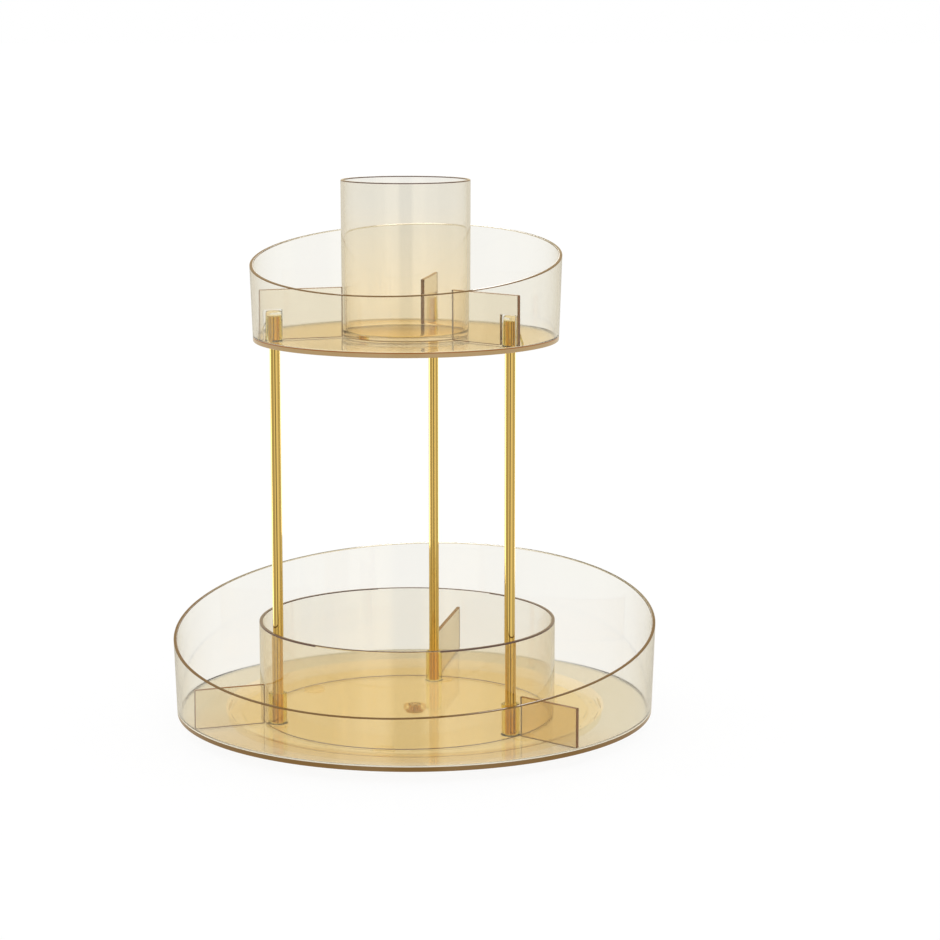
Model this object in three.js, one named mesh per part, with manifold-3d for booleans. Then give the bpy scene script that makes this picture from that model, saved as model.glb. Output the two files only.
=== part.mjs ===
// A two-tier rotating countertop organiser (a lazy susan) in clear amber plastic.
// Millimetres, +Z up. The origin is on the table under the turntable's pivot, and +Y points to
// the high side of the slanted rims. The tower (rods, upper tray, cup, ring and dividers) stands
// on an axis of its own, set back from the pivot towards the low front of the lower tray.
import * as THREE from "three";
import { mergeVertices } from "three/addons/utils/BufferGeometryUtils.js";
import Module from "manifold-3d";

const wasm = await Module();
wasm.setup();

// ---------------------------------------------------------------- Driving dimensions
// Clearances
const SEAT_GAP = 0.3; // between pieces that rest on or against each other
const BALL_PLAY = 0.05; // above and below each bearing ball
const TUBE_FIT = 0.15; // around a rod in its socket

// Both trays
const DRAFT = 2.0; // outward lean of the trays' walls, in degrees
const RIM_SLANT = 8.5; // tilt of the rims, in degrees

// Lower tray
const LOWER_RADIUS = 140.0; // outside, at the underside
const LOWER_WALL = 2.0;
const LOWER_FLOOR = 2.8;
const LOWER_RIM_HEIGHT = 48.1; // above the floor, over the tray's centre

// Upper tray
const UPPER_RADIUS = 87.4; // outside, at the underside
const UPPER_WALL = 2.0;
const UPPER_FLOOR = 2.4;
const UPPER_RIM_HEIGHT = 44.4; // above the floor, over the tray's centre
const GATE_RADIUS = 3.5; // round dimple in the middle of the floor
const GATE_DEPTH = 0.8;

// Tower
const TOWER_SETBACK = 20.3; // from the pivot towards the front
const TIER_RISE = 221.2; // from the lower floor's top to the upper floor's top

// Rods and their sockets
const ROD_RADIUS = 3.0;
const ROD_WALL = 0.6; // the rods are tubes
const ROD_INSET = 7.7; // from the upper tray's wall to the rods' axes
const ROD_ENTRY = 14.0; // above the upper floor
const LOWER_BOSS_WALL = 1.85;
const LOWER_BOSS_HEIGHT = 18.0;
const UPPER_BOSS_WALL = 1.05; // at the top
const UPPER_BOSS_FLARE = 0.5; // how much wider the boss is at its foot
const UPPER_BOSS_HEIGHT = 17.0;
const UPPER_BOSS_DOME = 0.5;
const GUSSET_THICKNESS = 1.6;
const GUSSET_HEIGHT = 12.5;

// Inner ring, which stands round the lower bosses
const RING_WALL = 2.0;
const RING_HEIGHT = 55.8;
const RING_CLEARANCE = 1.2; // between the bosses and the ring

// Brush cup
const CUP_RADIUS = 36.9; // outside, at the rim
const CUP_WALL = 1.9;
const CUP_FLOOR = 2.2;
const CUP_HEIGHT = 88.9;
const CUP_TAPER = 0.3; // how much smaller the foot's radius is

// Dividers
const DIVIDER_THICKNESS = 2.2;
const DIVIDER_END_GAP = 0.5;
const UPPER_DIVIDER_HEIGHT = 28.5;
const NOTCH_GAP = 0.5; // between an upper divider's notch and the boss it straddles
const LOWER_DIVIDER_FRONT_HEIGHT = 23.0;
const LOWER_DIVIDER_BACK_HEIGHT = 28.0;

// Turntable base
const BASE_RADIUS = 110.5;
const BASE_LIFT = 1.5; // from the table to the plate's underside
const BASE_PLATE = 2.0;
const BASE_SKIRT = 1.8; // wall round the edge
const SKIRT_GAP = 0.6; // between the skirt and the tray
const RACE_DEPTH = 0.8; // ball groove in the plate
const BALL_RADIUS = 2.0;
const BALL_COUNT = 12;
const CAGE_WIDTH = 6.4;
const CAGE_THICKNESS = 1.2;
const CAGE_BALL_GAP = 0.2; // round each ball in the cage
const FOOT_RADIUS = 6.5;
const FOOT_HEIGHT = 1.8;
const FOOT_COUNT = 6;
const FOOT_INSET = 12.7; // between the feet and the race

// Pivot: a pin under the tray turns in the base's hub, held by a washer and a screw
const PIN_RADIUS = 3.4;
const PIN_CLEARANCE = 0.2;
const HUB_WALL = 1.3; // round the washer's counterbore
const WASHER_LIP = 1.4; // how far the washer reaches past the pin's bore
const WASHER_THICKNESS = 0.6;
const SCREW_RADIUS = 1.3;
const SCREW_HEAD_RADIUS = 2.8;
const SCREW_HEAD_HEIGHT = 0.7;
const SCREW_LENGTH = 5.2; // under the head

// Facets round a full turn
const TRAY_FACETS = 72;
const CUP_FACETS = 60;
const ROD_FACETS = 24;

// ---------------------------------------------------------------- Derived levels and places
const raceFloor = BASE_LIFT + BASE_PLATE - RACE_DEPTH;
const ballCentre = raceFloor + BALL_PLAY + BALL_RADIUS;
const trayUnderside = ballCentre + BALL_RADIUS + BALL_PLAY;
const lowerFloorTop = trayUnderside + LOWER_FLOOR;
const upperFloorTop = lowerFloorTop + TIER_RISE;
const upperUnderside = upperFloorTop - UPPER_FLOOR;
const rodCircle = UPPER_RADIUS - UPPER_WALL - ROD_INSET;
const socketRadius = ROD_RADIUS + TUBE_FIT;
const lowerBossRadius = socketRadius + LOWER_BOSS_WALL;
const upperBossTopRadius = socketRadius + UPPER_BOSS_WALL;
const upperBossFootRadius = upperBossTopRadius + UPPER_BOSS_FLARE;
const ringInner = rodCircle + lowerBossRadius + RING_CLEARANCE;
const ringOuter = ringInner + RING_WALL;
const towerAxis = new THREE.Vector3(0, -TOWER_SETBACK, 0);
const spokes = [
  { side: "back", angle: Math.PI / 2 },
  { side: "left", angle: (Math.PI * 7) / 6 },
  { side: "right", angle: (Math.PI * 11) / 6 },
];

// ---------------------------------------------------------------- Materials
function plastic(color) {
  return new THREE.MeshStandardMaterial({
    color,
    roughness: 0.05,
    metalness: 0,
    transparent: true,
    opacity: 0.45,
  });
}
const amberPlastic = plastic(0xdcc38c);
const amberRing = plastic(0xd8bf90);
const amberDivider = plastic(0xd9c79a);
const goldMetal = new THREE.MeshStandardMaterial({ color: 0xd8b44a, roughness: 0.2, metalness: 1 });
const steel = new THREE.MeshStandardMaterial({ color: 0xc8c9cc, roughness: 0.25, metalness: 1 });
const rubber = new THREE.MeshStandardMaterial({ color: 0xd9cdb0, roughness: 0.7, metalness: 0 });

// ---------------------------------------------------------------- Shape helpers
// A closed geometry as a solid, for joining and cutting.
function solidOf(geometry) {
  const plain = geometry.clone();
  plain.deleteAttribute("normal");
  plain.deleteAttribute("uv");
  const merged = mergeVertices(plain, 1e-4);
  return new wasm.Manifold(
    new wasm.Mesh({
      numProp: 3,
      vertProperties: merged.attributes.position.array,
      triVerts: new Uint32Array(merged.index.array),
    }),
  );
}

// A solid as a named mesh.
function meshOf(name, solid, material) {
  const { vertProperties, triVerts } = solid.getMesh();
  const geometry = new THREE.BufferGeometry();
  geometry.setAttribute("position", new THREE.BufferAttribute(vertProperties, 3));
  geometry.setIndex(new THREE.BufferAttribute(triVerts, 1));
  geometry.computeVertexNormals();
  const mesh = new THREE.Mesh(geometry, material);
  mesh.name = name;
  return mesh;
}

// A profile of [radius, height] points, turned about Z. It runs anticlockwise, outside upwards.
function turned(profile, facets) {
  const points = profile.map(([radius, height]) => new THREE.Vector2(radius, height));
  const first = points[0];
  if (first.x > 0) points.push(first.clone());
  return new THREE.LatheGeometry(points, facets).rotateX(Math.PI / 2);
}

// An upright disc or cone from one height to another.
function disc(bottomRadius, topRadius, bottom, top, facets = ROD_FACETS) {
  const profile = [
    [0, bottom],
    [bottomRadius, bottom],
    [topRadius, top],
    [0, top],
  ];
  return turned(profile, facets);
}

// The point of a spoke at a distance from the tower's axis.
function onSpoke(angle, radius) {
  return new THREE.Vector3(radius * Math.cos(angle), radius * Math.sin(angle), 0).add(towerAxis);
}

// Everything above a rim that is tilted back over the tray's centre.
function aboveRim(centre, height, reach) {
  const slant = THREE.MathUtils.degToRad(RIM_SLANT);
  const block = new THREE.BoxGeometry(4 * reach, 4 * reach, 2 * reach);
  block.translate(0, 0, reach);
  block.rotateX(slant);
  block.translate(centre.x, centre.y, height);
  return solidOf(block);
}

// A tray's floor and leaning wall, before its rim is cut.
function trayBlank(radius, wall, underside, floorTop, height) {
  const lean = Math.tan(THREE.MathUtils.degToRad(DRAFT));
  const top = floorTop + height;
  const outside = (level) => radius + lean * (level - underside);
  const profile = [
    [0, underside],
    [radius, underside],
    [outside(top), top],
    [outside(top) - wall, top],
    [outside(floorTop) - wall, floorTop],
    [0, floorTop],
  ];
  return turned(profile, TRAY_FACETS);
}

// The radius inside a tray's wall, at its floor.
function floorRadius(radius, wall, floor) {
  return radius + floor * Math.tan(THREE.MathUtils.degToRad(DRAFT)) - wall;
}

// The facets' flats lie inside the circle by this factor.
function acrossFlats(radius, facets) {
  return radius * Math.cos(Math.PI / facets);
}

// ---------------------------------------------------------------- Turntable base
const skirtInner = BASE_RADIUS - BASE_SKIRT;
const raceRadius = skirtInner - SEAT_GAP - CAGE_WIDTH / 2;
const footCircle = raceRadius - BALL_RADIUS - FOOT_RADIUS - FOOT_INSET;
const hubBore = PIN_RADIUS + PIN_CLEARANCE;
const washerRadius = hubBore + WASHER_LIP;
const counterboreRadius = washerRadius + SEAT_GAP;
const hubRadius = counterboreRadius + HUB_WALL;
const hubTop = trayUnderside - SKIRT_GAP;
const washerBottom = BASE_LIFT + SCREW_HEAD_HEIGHT - SEAT_GAP;
const washerTop = washerBottom + WASHER_THICKNESS;
const counterboreTop = washerTop + SEAT_GAP;

function turntableBase() {
  const plateTop = BASE_LIFT + BASE_PLATE;
  const skirtTop = trayUnderside - SKIRT_GAP;
  const profile = [
    [0, BASE_LIFT],
    [BASE_RADIUS, BASE_LIFT],
    [BASE_RADIUS, skirtTop],
    [skirtInner, skirtTop],
    [skirtInner, plateTop],
    [raceRadius + BALL_RADIUS, plateTop],
    [raceRadius + BALL_RADIUS, raceFloor],
    [raceRadius - BALL_RADIUS, raceFloor],
    [raceRadius - BALL_RADIUS, plateTop],
    [0, plateTop],
  ];
  let base = solidOf(turned(profile, TRAY_FACETS));
  base = base.add(solidOf(disc(hubRadius, hubRadius, BASE_LIFT + BASE_PLATE / 2, hubTop)));
  base = base.subtract(solidOf(disc(hubBore, hubBore, 0, hubTop + 1)));
  base = base.subtract(solidOf(disc(counterboreRadius, counterboreRadius, 0, counterboreTop)));
  const pocketRadius = FOOT_RADIUS + SEAT_GAP;
  for (const place of footPlaces) {
    const pocket = disc(pocketRadius, pocketRadius, 0, FOOT_HEIGHT + SEAT_GAP);
    base = base.subtract(solidOf(pocket.translate(place.x, place.y, 0)));
  }
  return base;
}

// The places of count pieces on a circle round the pivot.
function roundPivot(radius, count) {
  return Array.from({ length: count }, (_, i) => {
    const angle = ((i + 0.5) * 2 * Math.PI) / count;
    return new THREE.Vector3(radius * Math.cos(angle), radius * Math.sin(angle), 0);
  });
}

const footPlaces = roundPivot(footCircle, FOOT_COUNT);
const ballPlaces = roundPivot(raceRadius, BALL_COUNT);

// ---------------------------------------------------------------- Ball cage
function ballCage() {
  const bottom = ballCentre - CAGE_THICKNESS / 2;
  const top = ballCentre + CAGE_THICKNESS / 2;
  const inner = raceRadius - CAGE_WIDTH / 2;
  const outer = raceRadius + CAGE_WIDTH / 2;
  const profile = [
    [inner, bottom],
    [outer, bottom],
    [outer, top],
    [inner, top],
  ];
  let cage = solidOf(turned(profile, TRAY_FACETS));
  for (const place of ballPlaces) {
    const radius = BALL_RADIUS + CAGE_BALL_GAP;
    const hole = disc(radius, radius, bottom - 1, top + 1, 12);
    cage = cage.subtract(solidOf(hole.translate(place.x, place.y, 0)));
  }
  return cage;
}

// ---------------------------------------------------------------- Pivot fasteners
function pivotWasher() {
  const inner = SCREW_RADIUS + SEAT_GAP;
  const profile = [
    [inner, washerBottom],
    [washerRadius, washerBottom],
    [washerRadius, washerTop],
    [inner, washerTop],
  ];
  return solidOf(turned(profile, ROD_FACETS));
}

const screwHeadTop = washerBottom - SEAT_GAP;

function pivotScrew() {
  const profile = [
    [0, screwHeadTop - SCREW_HEAD_HEIGHT],
    [SCREW_HEAD_RADIUS, screwHeadTop - SCREW_HEAD_HEIGHT],
    [SCREW_HEAD_RADIUS, screwHeadTop],
    [SCREW_RADIUS, screwHeadTop],
    [SCREW_RADIUS, screwHeadTop + SCREW_LENGTH],
    [0, screwHeadTop + SCREW_LENGTH],
  ];
  return solidOf(turned(profile, ROD_FACETS));
}

// ---------------------------------------------------------------- Lower tray
function lowerTray() {
  const room = LOWER_RADIUS * Math.tan(THREE.MathUtils.degToRad(RIM_SLANT)) + 10;
  const blank = trayBlank(
    LOWER_RADIUS,
    LOWER_WALL,
    trayUnderside,
    lowerFloorTop,
    LOWER_RIM_HEIGHT + room,
  );
  const rimCentre = lowerFloorTop + LOWER_RIM_HEIGHT;
  let tray = solidOf(blank);
  tray = tray.subtract(aboveRim(new THREE.Vector3(), rimCentre, LOWER_RADIUS));
  const root = trayUnderside + LOWER_FLOOR / 2;
  for (const { angle } of spokes) {
    const place = onSpoke(angle, rodCircle);
    const bossTop = lowerFloorTop + LOWER_BOSS_HEIGHT;
    const boss = disc(lowerBossRadius, lowerBossRadius, root, bossTop);
    const socket = disc(socketRadius, socketRadius, lowerFloorTop, bossTop + 1);
    tray = tray.add(solidOf(boss.translate(place.x, place.y, 0)));
    tray = tray.subtract(solidOf(socket.translate(place.x, place.y, 0)));
  }
  const pin = disc(PIN_RADIUS, PIN_RADIUS, washerTop + SEAT_GAP, root);
  const pilotRadius = SCREW_RADIUS + TUBE_FIT;
  const pilotTop = screwHeadTop + SCREW_LENGTH + SEAT_GAP;
  const pilot = disc(pilotRadius, pilotRadius, 0, pilotTop);
  return tray.add(solidOf(pin)).subtract(solidOf(pilot));
}

// ---------------------------------------------------------------- Upper tray
// A triangular web from a boss out to the wall.
function gusset(angle) {
  const start = rodCircle + socketRadius + UPPER_BOSS_WALL / 2;
  const end = floorRadius(UPPER_RADIUS, UPPER_WALL, UPPER_FLOOR) + UPPER_WALL / 2;
  const outline = new THREE.Shape();
  outline.moveTo(start, -UPPER_FLOOR / 2);
  outline.lineTo(end, -UPPER_FLOOR / 2);
  outline.lineTo(end, 0);
  outline.lineTo(start, GUSSET_HEIGHT);
  outline.closePath();
  const web = new THREE.ExtrudeGeometry(outline, { depth: GUSSET_THICKNESS, bevelEnabled: false });
  web.translate(0, 0, -GUSSET_THICKNESS / 2);
  web.rotateX(Math.PI / 2);
  web.rotateZ(angle);
  web.translate(towerAxis.x, towerAxis.y, upperFloorTop);
  return solidOf(web);
}

function upperTray() {
  const room = UPPER_RADIUS * Math.tan(THREE.MathUtils.degToRad(RIM_SLANT)) + 10;
  const blank = trayBlank(
    UPPER_RADIUS,
    UPPER_WALL,
    upperUnderside,
    upperFloorTop,
    UPPER_RIM_HEIGHT + room,
  );
  let tray = solidOf(blank.translate(towerAxis.x, towerAxis.y, 0));
  tray = tray.subtract(aboveRim(towerAxis, upperFloorTop + UPPER_RIM_HEIGHT, UPPER_RADIUS));
  const bossTop = upperFloorTop + UPPER_BOSS_HEIGHT;
  const profile = [
    [0, upperFloorTop - UPPER_FLOOR / 2],
    [upperBossFootRadius, upperFloorTop - UPPER_FLOOR / 2],
    [upperBossTopRadius, bossTop - UPPER_BOSS_DOME],
    [upperBossTopRadius - 2 * UPPER_BOSS_DOME, bossTop],
    [0, bossTop],
  ];
  for (const { angle } of spokes) {
    const place = onSpoke(angle, rodCircle);
    const boss = turned(profile, ROD_FACETS).translate(place.x, place.y, 0);
    tray = tray.add(solidOf(boss)).add(gusset(angle));
  }
  for (const { angle } of spokes) {
    const place = onSpoke(angle, rodCircle);
    const socketTop = upperFloorTop + ROD_ENTRY + SEAT_GAP;
    const socket = disc(socketRadius, socketRadius, upperUnderside - 1, socketTop);
    tray = tray.subtract(solidOf(socket.translate(place.x, place.y, 0)));
  }
  const dimple = disc(GATE_RADIUS, GATE_RADIUS, upperFloorTop - GATE_DEPTH, upperFloorTop + 1);
  return tray.subtract(solidOf(dimple.translate(towerAxis.x, towerAxis.y, 0)));
}

// ---------------------------------------------------------------- Rods
function supportRod(angle) {
  const place = onSpoke(angle, rodCircle);
  const bottom = lowerFloorTop + SEAT_GAP;
  const top = upperFloorTop + ROD_ENTRY;
  const bore = ROD_RADIUS - ROD_WALL;
  const profile = [
    [bore, bottom],
    [ROD_RADIUS, bottom],
    [ROD_RADIUS, top],
    [bore, top],
  ];
  return solidOf(turned(profile, ROD_FACETS).translate(place.x, place.y, 0));
}

// ---------------------------------------------------------------- Inner ring
function innerRing() {
  const bottom = lowerFloorTop + SEAT_GAP;
  const top = lowerFloorTop + RING_HEIGHT;
  const profile = [
    [ringInner, bottom],
    [ringOuter, bottom],
    [ringOuter, top],
    [ringInner, top],
  ];
  return solidOf(turned(profile, TRAY_FACETS).translate(towerAxis.x, towerAxis.y, 0));
}

// ---------------------------------------------------------------- Brush cup
function brushCup() {
  const bottom = upperFloorTop + SEAT_GAP;
  const top = upperFloorTop + CUP_HEIGHT;
  const profile = [
    [0, bottom],
    [CUP_RADIUS - CUP_TAPER, bottom],
    [CUP_RADIUS, top],
    [CUP_RADIUS - CUP_WALL, top],
    [CUP_RADIUS - CUP_TAPER - CUP_WALL, bottom + CUP_FLOOR],
    [0, bottom + CUP_FLOOR],
  ];
  return solidOf(turned(profile, CUP_FACETS).translate(towerAxis.x, towerAxis.y, 0));
}

// ---------------------------------------------------------------- Dividers
// An upright plate along a spoke, moved sideways by offset.
function plate(angle, inner, outer, bottom, height, offset) {
  const block = new THREE.BoxGeometry(outer - inner, DIVIDER_THICKNESS, height);
  block.translate((inner + outer) / 2, offset, bottom + height / 2);
  block.rotateZ(angle);
  block.translate(towerAxis.x, towerAxis.y, 0);
  return solidOf(block);
}

// A lower divider reaches from the ring to the lower tray's wall, which isn't concentric.
function lowerDivider(angle, height) {
  const wall = floorRadius(LOWER_RADIUS, LOWER_WALL, LOWER_FLOOR);
  const along = towerAxis.x * Math.cos(angle) + towerAxis.y * Math.sin(angle);
  const reach = Math.sqrt(along ** 2 - towerAxis.lengthSq() + wall ** 2) - along;
  const inner = ringOuter + DIVIDER_END_GAP;
  const outer = acrossFlats(reach, TRAY_FACETS) - DIVIDER_END_GAP;
  return plate(angle, inner, outer, lowerFloorTop + SEAT_GAP, height, 0);
}

// An upper divider reaches from the cup to the upper wall, beside the gusset, and its notch
// straddles the boss.
function upperDivider(angle) {
  const wall = floorRadius(UPPER_RADIUS, UPPER_WALL, UPPER_FLOOR);
  const offset = -(GUSSET_THICKNESS / 2 + SEAT_GAP + DIVIDER_THICKNESS / 2);
  const inner = CUP_RADIUS + DIVIDER_END_GAP;
  const outer = acrossFlats(wall, TRAY_FACETS) - DIVIDER_END_GAP;
  const bottom = upperFloorTop + SEAT_GAP;
  const whole = plate(angle, inner, outer, bottom, UPPER_DIVIDER_HEIGHT, offset);
  const half = upperBossFootRadius + NOTCH_GAP;
  const notch = new THREE.BoxGeometry(2 * half, 4 * DIVIDER_THICKNESS, 2 * UPPER_BOSS_HEIGHT);
  notch.translate(rodCircle, offset, upperFloorTop + NOTCH_GAP);
  notch.rotateZ(angle);
  notch.translate(towerAxis.x, towerAxis.y, 0);
  return whole.subtract(solidOf(notch));
}

// ---------------------------------------------------------------- Assembly
const organiser = new THREE.Group();

// Turntable base with its feet, race and pivot fasteners.
const turntable = new THREE.Group();
turntable.add(meshOf("turntable_base", turntableBase(), amberPlastic));
footPlaces.forEach((place, i) => {
  const foot = solidOf(disc(FOOT_RADIUS, FOOT_RADIUS, 0, FOOT_HEIGHT));
  const mesh = meshOf(`rubber_foot_${i + 1}`, foot, rubber);
  mesh.position.copy(place);
  turntable.add(mesh);
});
turntable.add(meshOf("ball_cage", ballCage(), amberPlastic));
ballPlaces.forEach((place, i) => {
  const ball = solidOf(new THREE.SphereGeometry(BALL_RADIUS, 12, 6).rotateX(Math.PI / 2));
  const mesh = meshOf(`bearing_ball_${i + 1}`, ball, amberPlastic);
  mesh.position.set(place.x, place.y, ballCentre);
  turntable.add(mesh);
});
turntable.add(meshOf("pivot_washer", pivotWasher(), steel));
turntable.add(meshOf("pivot_screw", pivotScrew(), steel));
organiser.add(turntable);

// Lower tier.
const lowerTier = new THREE.Group();
lowerTier.add(meshOf("lower_tray", lowerTray(), amberPlastic));
lowerTier.add(meshOf("inner_ring", innerRing(), amberRing));
for (const { side, angle } of spokes) {
  const height = side === "back" ? LOWER_DIVIDER_BACK_HEIGHT : LOWER_DIVIDER_FRONT_HEIGHT;
  lowerTier.add(meshOf(`lower_divider_${side}`, lowerDivider(angle, height), amberDivider));
}
organiser.add(lowerTier);

// Rods.
for (const { side, angle } of spokes) {
  organiser.add(meshOf(`support_rod_${side}`, supportRod(angle), goldMetal));
}

// Upper tier.
const upperTier = new THREE.Group();
upperTier.add(meshOf("upper_tray", upperTray(), amberPlastic));
upperTier.add(meshOf("brush_cup", brushCup(), amberPlastic));
for (const { side, angle } of spokes) {
  upperTier.add(meshOf(`upper_divider_${side}`, upperDivider(angle), amberDivider));
}
organiser.add(upperTier);

export default organiser;
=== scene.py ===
import math

import bmesh
import bpy
from mathutils import Matrix, Vector


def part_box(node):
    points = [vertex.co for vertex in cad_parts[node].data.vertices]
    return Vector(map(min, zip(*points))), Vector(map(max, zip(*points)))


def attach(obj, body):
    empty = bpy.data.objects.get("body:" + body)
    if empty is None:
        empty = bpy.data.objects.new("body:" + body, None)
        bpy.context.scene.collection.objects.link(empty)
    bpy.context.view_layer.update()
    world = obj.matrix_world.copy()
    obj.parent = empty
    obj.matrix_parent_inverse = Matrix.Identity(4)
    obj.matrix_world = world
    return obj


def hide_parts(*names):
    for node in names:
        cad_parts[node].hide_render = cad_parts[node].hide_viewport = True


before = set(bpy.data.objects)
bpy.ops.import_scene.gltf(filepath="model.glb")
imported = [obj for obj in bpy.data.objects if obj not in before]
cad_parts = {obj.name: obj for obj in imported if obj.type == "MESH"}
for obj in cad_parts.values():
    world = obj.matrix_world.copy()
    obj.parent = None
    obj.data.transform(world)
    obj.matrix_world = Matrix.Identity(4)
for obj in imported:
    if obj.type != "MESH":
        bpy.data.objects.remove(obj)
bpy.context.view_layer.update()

# ---------------------------------------------------------------- Lower tray
# The large tray, one moulding in clear amber polystyrene: a flat floor, a leaning wall whose rim
# is cut on a slant, three open sockets for the rods, and the pivot pin under its middle.
MM = 0.001
SEAT_GAP = 0.3  # under each piece that stands on a floor
TURN_STEPS = 192
SMALL_STEPS = 48
DRAFT = math.radians(2.0)
RIM_SLANT = math.radians(8.5)
LOWER_RADIUS = 140.0
LOWER_WALL = 2.0
LOWER_FLOOR = 2.8
LOWER_RIM_HEIGHT = 48.1
RIM_ROUNDING = 0.45
FOOT_ROUNDING = 0.7
CORNER_ROUNDING = 1.2
LOWER_BOSS_RADIUS = 5.0
LOWER_BOSS_HEIGHT = 18.0
BOSS_FLARE = 0.5
SOCKET_RADIUS = 3.15
SOCKET_LEAD_IN = 0.5
ROD_CIRCLE = 77.7
PIN_RADIUS = 3.4
PILOT_RADIUS = 1.45
PILOT_TOP = 7.1
SIDES = {"back": math.pi / 2, "left": math.pi * 7 / 6, "right": math.pi * 11 / 6}

lower_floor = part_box("inner_ring")[0].z / MM - SEAT_GAP
lower_underside = lower_floor - LOWER_FLOOR
pivot = Vector((0, 0, 0))
cup_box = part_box("brush_cup")
tower = Vector(((cup_box[0].x + cup_box[1].x) / 2, (cup_box[0].y + cup_box[1].y) / 2, 0))

# A tint's last number is how clear the face is.
WALL_TINT = (0.965, 0.955, 0.91, 1.0)
FLOOR_TINT = (0.92, 0.81, 0.59, 1.0)
# Painted shade: the outer floor is painted darker amber at the front, fading to a greyer tint at the
# sides and back.
SIDE_FLOOR_TINT = (0.7, 0.71, 0.65, 1.0)
FRONT_FLOOR_SHADE_TINT = (0.68, 0.51, 0.28, 1.0)
# Painted shade: an opaque brown band round the foot of the floor, standing for the dark look of the
# clear amber edge.
FOOT_SHADE_TINT = (0.2, 0.108, 0.03, 0.0)
# Painted highlight: a pale, mostly opaque line just above the foot band.
LINE_HIGHLIGHT_TINT = (1.0, 0.93, 0.76, 0.25)
# Painted shade and highlight on the slanted rims: opaque dark brown at the front and sides, a pale,
# partly clear painted highlight at the back.
RIM_SHADE_TINT = (0.17, 0.085, 0.022, 0.0)
BACK_RIM_HIGHLIGHT_TINT = (0.75, 0.64, 0.42, 0.7)
# Painted shade: opaque brown on edges, standing for the dark look of the clear amber plastic there.
EDGE_SHADE_TINT = (0.3, 0.11, 0.02, 0.0)
# Painted reflection: the sleeves round the rods are the same plastic as the walls, tinted deep yellow
# for the gold of the rods seen inside.
BOSS_GOLD_REFLECTION_TINT = (0.97, 0.86, 0.27, 1.0)
# The pale tint that faces painted as shade or highlight take when met from within the plastic.
WITHIN_TINT = (0.96, 0.93, 0.85, 1.0)


def turned(outline, axis, steps=TURN_STEPS):
    """A round body from half its section, as (radius, height, corner rounding) in millimetres."""
    bm = bmesh.new()
    corners = [bm.verts.new((axis.x + r * MM, axis.y, z * MM)) for r, z, _ in outline]
    for start, end in zip(corners, corners[1:]):
        bm.edges.new((start, end))
    if outline[0][0] > 0:
        bm.edges.new((corners[-1], corners[0]))
    for corner, (_, _, rounding) in zip(corners, outline):
        if rounding:
            bmesh.ops.bevel(bm, geom=[corner], offset=rounding * MM, offset_type="OFFSET",
                            affect="VERTICES", segments=4, profile=0.5, material=-1)
    bmesh.ops.spin(bm, geom=bm.verts[:] + bm.edges[:], cent=axis, axis=(0, 0, 1),
                   angle=2 * math.pi, steps=steps, use_merge=True)
    bmesh.ops.remove_doubles(bm, verts=bm.verts, dist=1e-6)
    bmesh.ops.recalc_face_normals(bm, faces=bm.faces)
    return bm


def cut_rim(bm, centre, height):
    """Cuts a tray's wall on the slant, closes the cut with a flat rim and rounds its edges."""
    level = Vector((centre.x, centre.y, height * MM))
    normal = Vector((0, -math.sin(RIM_SLANT), math.cos(RIM_SLANT)))
    bmesh.ops.bisect_plane(bm, geom=bm.verts[:] + bm.edges[:] + bm.faces[:], plane_co=level,
                           plane_no=normal, clear_outer=True)
    open_edges = [edge for edge in bm.edges if edge.is_boundary]
    bmesh.ops.bridge_loops(bm, edges=open_edges)
    bmesh.ops.bevel(bm, geom=open_edges, offset=RIM_ROUNDING * MM, offset_type="OFFSET",
                    affect="EDGES", segments=3, profile=0.5, material=-1)
    bmesh.ops.recalc_face_normals(bm, faces=bm.faces)


def new_piece(bm, name):
    """The finished mesh as an object of the scene."""
    mesh = bpy.data.meshes.new(name)
    bm.to_mesh(mesh)
    bm.free()
    piece = bpy.data.objects.new(name, mesh)
    bpy.context.scene.collection.objects.link(piece)
    return piece


def combine(piece, tool_mesh, operation):
    """Joins a second body to a piece, or cuts it away, as one moulding."""
    tool = new_piece(tool_mesh, "tool")
    joint = piece.modifiers.new("combine", "BOOLEAN")
    joint.operation = operation
    joint.solver = "EXACT"
    joint.object = tool
    with bpy.context.temp_override(object=piece, active_object=piece):
        bpy.ops.object.modifier_apply(modifier=joint.name)
    bpy.data.objects.remove(tool)


def smooth(piece, angle=28):
    """Smooth faces with sharp corners kept, and normals that stay flat on the large faces."""
    piece.data.shade_smooth()
    piece.data.set_sharp_from_angle(angle=math.radians(angle))
    weighted = piece.modifiers.new("flat faces", "WEIGHTED_NORMAL")
    weighted.keep_sharp = True
    weighted.weight = 100


def tint(piece, rule):
    """Stores the plastic's tint on each face, painted shade and highlight included, as rule(centre,
    normal) gives it, in millimetres.
    """
    colours = piece.data.attributes.new("tint", "FLOAT_COLOR", "CORNER")
    for face in piece.data.polygons:
        colour = rule(face.center / MM, face.normal)
        for corner in face.loop_indices:
            colours.data[corner].color = colour


def blend(start, end, share):
    """The tint a given share of the way from one to another, held at either end."""
    share = min(1, max(0, share))
    return tuple(low + (high - low) * share for low, high in zip(start, end))


def spoke_point(angle, radius):
    """A point on a spoke of the tower, radius in millimetres from its axis."""
    return tower + Vector((math.cos(angle), math.sin(angle), 0)) * radius * MM


def nearest_rod(point):
    """How far a point lies from the nearest rod's axis, in millimetres."""
    return min((point.xy - spoke_point(angle, ROD_CIRCLE).xy / MM).length
               for angle in SIDES.values())


def lean(radius, height):
    """A leaning wall's radius at a height above the tray's underside."""
    return radius + height * math.tan(DRAFT)


def rim_distance(point, centre, height):
    """How far a point lies below a tray's slanted rim."""
    slope = (point.y - centre.y / MM) * math.tan(RIM_SLANT)
    return (height + slope - point.z) * math.cos(RIM_SLANT)


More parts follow.
